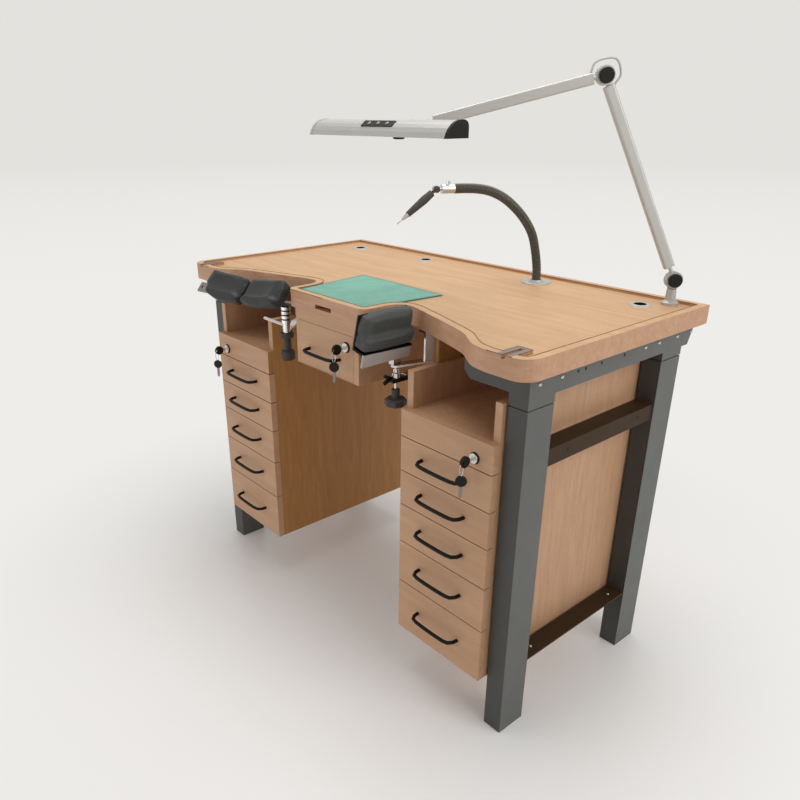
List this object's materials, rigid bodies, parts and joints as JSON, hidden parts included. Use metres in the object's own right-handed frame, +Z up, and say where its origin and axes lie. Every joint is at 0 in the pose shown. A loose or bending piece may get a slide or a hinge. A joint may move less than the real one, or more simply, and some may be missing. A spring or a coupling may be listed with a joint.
{
  "type": "jewelers bench",
  "caption": "Beech jewelers bench on a steel frame with drawer pedestals, a centre drawer, a bar lamp on a jointed arm, a flexible tool stand and padded armrests.",
  "frame": {"origin": "centre of the bounding box on the floor", "axes": "+X to the right of a person sitting at the bench, +Y to the back, +Z up"},
  "size_m": [1.3, 0.7532, 1.4834],
  "materials": {
    "beech": "satin",
    "steel_paint": "satin",
    "black_metal": "satin",
    "chrome": "polished",
    "aluminium": "satin",
    "grey_metal": "satin",
    "black_plastic": "matte",
    "cable": "matte",
    "leather": "matte",
    "hose": "matte",
    "mat": "matte"
  },
  "bodies": {
    "bench": {"worktop": "beech", "skin_mat": "mat", "grommet_left": "chrome", "grommet_middle": "chrome", "grommet_right": "chrome", "top_frame_right": "steel_paint", "top_frame_left": "steel_paint", "leg_frame_right": "steel_paint", "leg_frame_left": "steel_paint", "carcass_right": "beech", "carcass_left": "beech", "lock_right": "chrome", "lock_left": "chrome", "centre_housing": "beech", "stand_plate": "chrome", "stand_hose": "hose", "stand_clamp": "chrome", "arm_post_left": "chrome", "arm_bracket_right": "grey_metal"},
    "drawer_right_1": {"drawer_right_1": "beech", "handle_right_1": "black_metal"},
    "drawer_right_2": {"drawer_right_2": "beech", "handle_right_2": "black_metal"},
    "drawer_right_3": {"drawer_right_3": "beech", "handle_right_3": "black_metal"},
    "drawer_right_4": {"drawer_right_4": "beech", "handle_right_4": "black_metal"},
    "drawer_right_5": {"drawer_right_5": "beech", "handle_right_5": "black_metal"},
    "key_right": {"key_right": "black_plastic"},
    "drawer_left_1": {"drawer_left_1": "beech", "handle_left_1": "black_metal"},
    "drawer_left_2": {"drawer_left_2": "beech", "handle_left_2": "black_metal"},
    "drawer_left_3": {"drawer_left_3": "beech", "handle_left_3": "black_metal"},
    "drawer_left_4": {"drawer_left_4": "beech", "handle_left_4": "black_metal"},
    "drawer_left_5": {"drawer_left_5": "beech", "handle_left_5": "black_metal"},
    "key_left": {"key_left": "black_plastic"},
    "centre_drawer": {"centre_drawer": "beech", "centre_handle": "black_metal", "lock_centre": "chrome"},
    "key_centre": {"key_centre": "black_plastic"},
    "lamp_base": {"lamp_base": "aluminium"},
    "lamp_lower_arm": {"lamp_lower_arm": "aluminium", "lamp_cable": "cable"},
    "lamp_upper_arm": {"lamp_upper_arm": "aluminium"},
    "lamp_head": {"lamp_head": "aluminium"},
    "lamp_shoulder_knob": {"lamp_shoulder_knob": "black_plastic"},
    "lamp_elbow_knob": {"lamp_elbow_knob": "black_plastic"},
    "handpiece": {"handpiece": "black_metal"},
    "rest_left": {"arm_bar_left": "grey_metal", "pad_left_inner": "leather", "pad_left_outer": "leather"},
    "arm_knob_left": {"arm_knob_left": "black_plastic"},
    "rest_right": {"arm_shell_right": "grey_metal", "pad_right": "leather"},
    "arm_knob_right": {"arm_knob_right": "black_plastic"}
  },
  "joints": [
    {"name": "drawer_right_1_slide", "type": "slide", "parent": "bench", "child": "drawer_right_1", "axis": [0, -1, 0], "range_m": [0, 0.33]},
    {"name": "drawer_right_2_slide", "type": "slide", "parent": "bench", "child": "drawer_right_2", "axis": [0, -1, 0], "range_m": [0, 0.33]},
    {"name": "drawer_right_3_slide", "type": "slide", "parent": "bench", "child": "drawer_right_3", "axis": [0, -1, 0], "range_m": [0, 0.33]},
    {"name": "drawer_right_4_slide", "type": "slide", "parent": "bench", "child": "drawer_right_4", "axis": [0, -1, 0], "range_m": [0, 0.33]},
    {"name": "drawer_right_5_slide", "type": "slide", "parent": "bench", "child": "drawer_right_5", "axis": [0, -1, 0], "range_m": [0, 0.33]},
    {"name": "key_right_turn", "type": "hinge", "parent": "bench", "child": "key_right", "pos_m": [0.515, -0.27845, 0.711], "axis": [0, -1, 0], "range_deg": [0, 180]},
    {"name": "drawer_left_1_slide", "type": "slide", "parent": "bench", "child": "drawer_left_1", "axis": [0, -1, 0], "range_m": [0, 0.33]},
    {"name": "drawer_left_2_slide", "type": "slide", "parent": "bench", "child": "drawer_left_2", "axis": [0, -1, 0], "range_m": [0, 0.33]},
    {"name": "drawer_left_3_slide", "type": "slide", "parent": "bench", "child": "drawer_left_3", "axis": [0, -1, 0], "range_m": [0, 0.33]},
    {"name": "drawer_left_4_slide", "type": "slide", "parent": "bench", "child": "drawer_left_4", "axis": [0, -1, 0], "range_m": [0, 0.33]},
    {"name": "drawer_left_5_slide", "type": "slide", "parent": "bench", "child": "drawer_left_5", "axis": [0, -1, 0], "range_m": [0, 0.33]},
    {"name": "key_left_turn", "type": "hinge", "parent": "bench", "child": "key_left", "pos_m": [-0.515, -0.27845, 0.711], "axis": [0, -1, 0], "range_deg": [0, 180]},
    {"name": "centre_drawer_slide", "type": "slide", "parent": "bench", "child": "centre_drawer", "axis": [0, -1, 0], "range_m": [0, 0.18]},
    {"name": "key_centre_turn", "type": "hinge", "parent": "centre_drawer", "child": "key_centre", "pos_m": [0.083, -0.27945, 0.853], "axis": [0, -1, 0], "range_deg": [0, 180]},
    {"name": "lamp_turn", "type": "hinge", "parent": "bench", "child": "lamp_base", "pos_m": [0.573, 0.33155, 0.954], "axis": [0, 0, 1], "range_deg": [-90, 60]},
    {"name": "lamp_shoulder", "type": "hinge", "parent": "lamp_base", "child": "lamp_lower_arm", "pos_m": [0.573, 0.33155, 1.013], "axis": [0.7625, -0.647, 0], "range_deg": [-20, 15]},
    {"name": "lamp_elbow", "type": "hinge", "parent": "lamp_lower_arm", "child": "lamp_upper_arm", "pos_m": [0.433, 0.16655, 1.447], "axis": [0.7625, -0.647, 0], "range_deg": [-25, 20], "deforming": ["lamp_cable"]},
    {"name": "lamp_head_tilt", "type": "hinge", "parent": "lamp_upper_arm", "child": "lamp_head", "pos_m": [0.172, -0.12445, 1.352], "axis": [1, 0, 0], "range_deg": [-25, 25]},
    {"name": "lamp_shoulder_knob_turn", "type": "hinge", "parent": "lamp_lower_arm", "child": "lamp_shoulder_knob", "pos_m": [0.573, 0.33155, 1.013], "axis": [0.7625, -0.647, 0], "continuous": true},
    {"name": "lamp_elbow_knob_turn", "type": "hinge", "parent": "lamp_upper_arm", "child": "lamp_elbow_knob", "pos_m": [0.433, 0.16655, 1.447], "axis": [0.7625, -0.647, 0], "continuous": true},
    {"name": "handpiece_tilt", "type": "hinge", "parent": "bench", "child": "handpiece", "pos_m": [0.08962, 0.01313, 1.203], "axis": [0.925, -0.38, 0], "range_deg": [-30, 35]},
    {"name": "rest_left_turn", "type": "hinge", "parent": "bench", "child": "rest_left", "pos_m": [-0.197, -0.25845, 0.907], "axis": [0, 0, 1], "range_deg": [0, 18]},
    {"name": "arm_knob_left_turn", "type": "hinge", "parent": "bench", "child": "arm_knob_left", "pos_m": [-0.197, -0.25845, 0.78], "axis": [0, 0, 1], "continuous": true},
    {"name": "rest_right_turn", "type": "hinge", "parent": "bench", "child": "rest_right", "pos_m": [0.236, -0.24545, 0.85], "axis": [0, 0, 1], "range_deg": [-10, 12]},
    {"name": "arm_knob_right_turn", "type": "hinge", "parent": "rest_right", "child": "arm_knob_right", "pos_m": [0.236, -0.24545, 0.77], "axis": [0, 0, 1], "continuous": true}
  ]
}
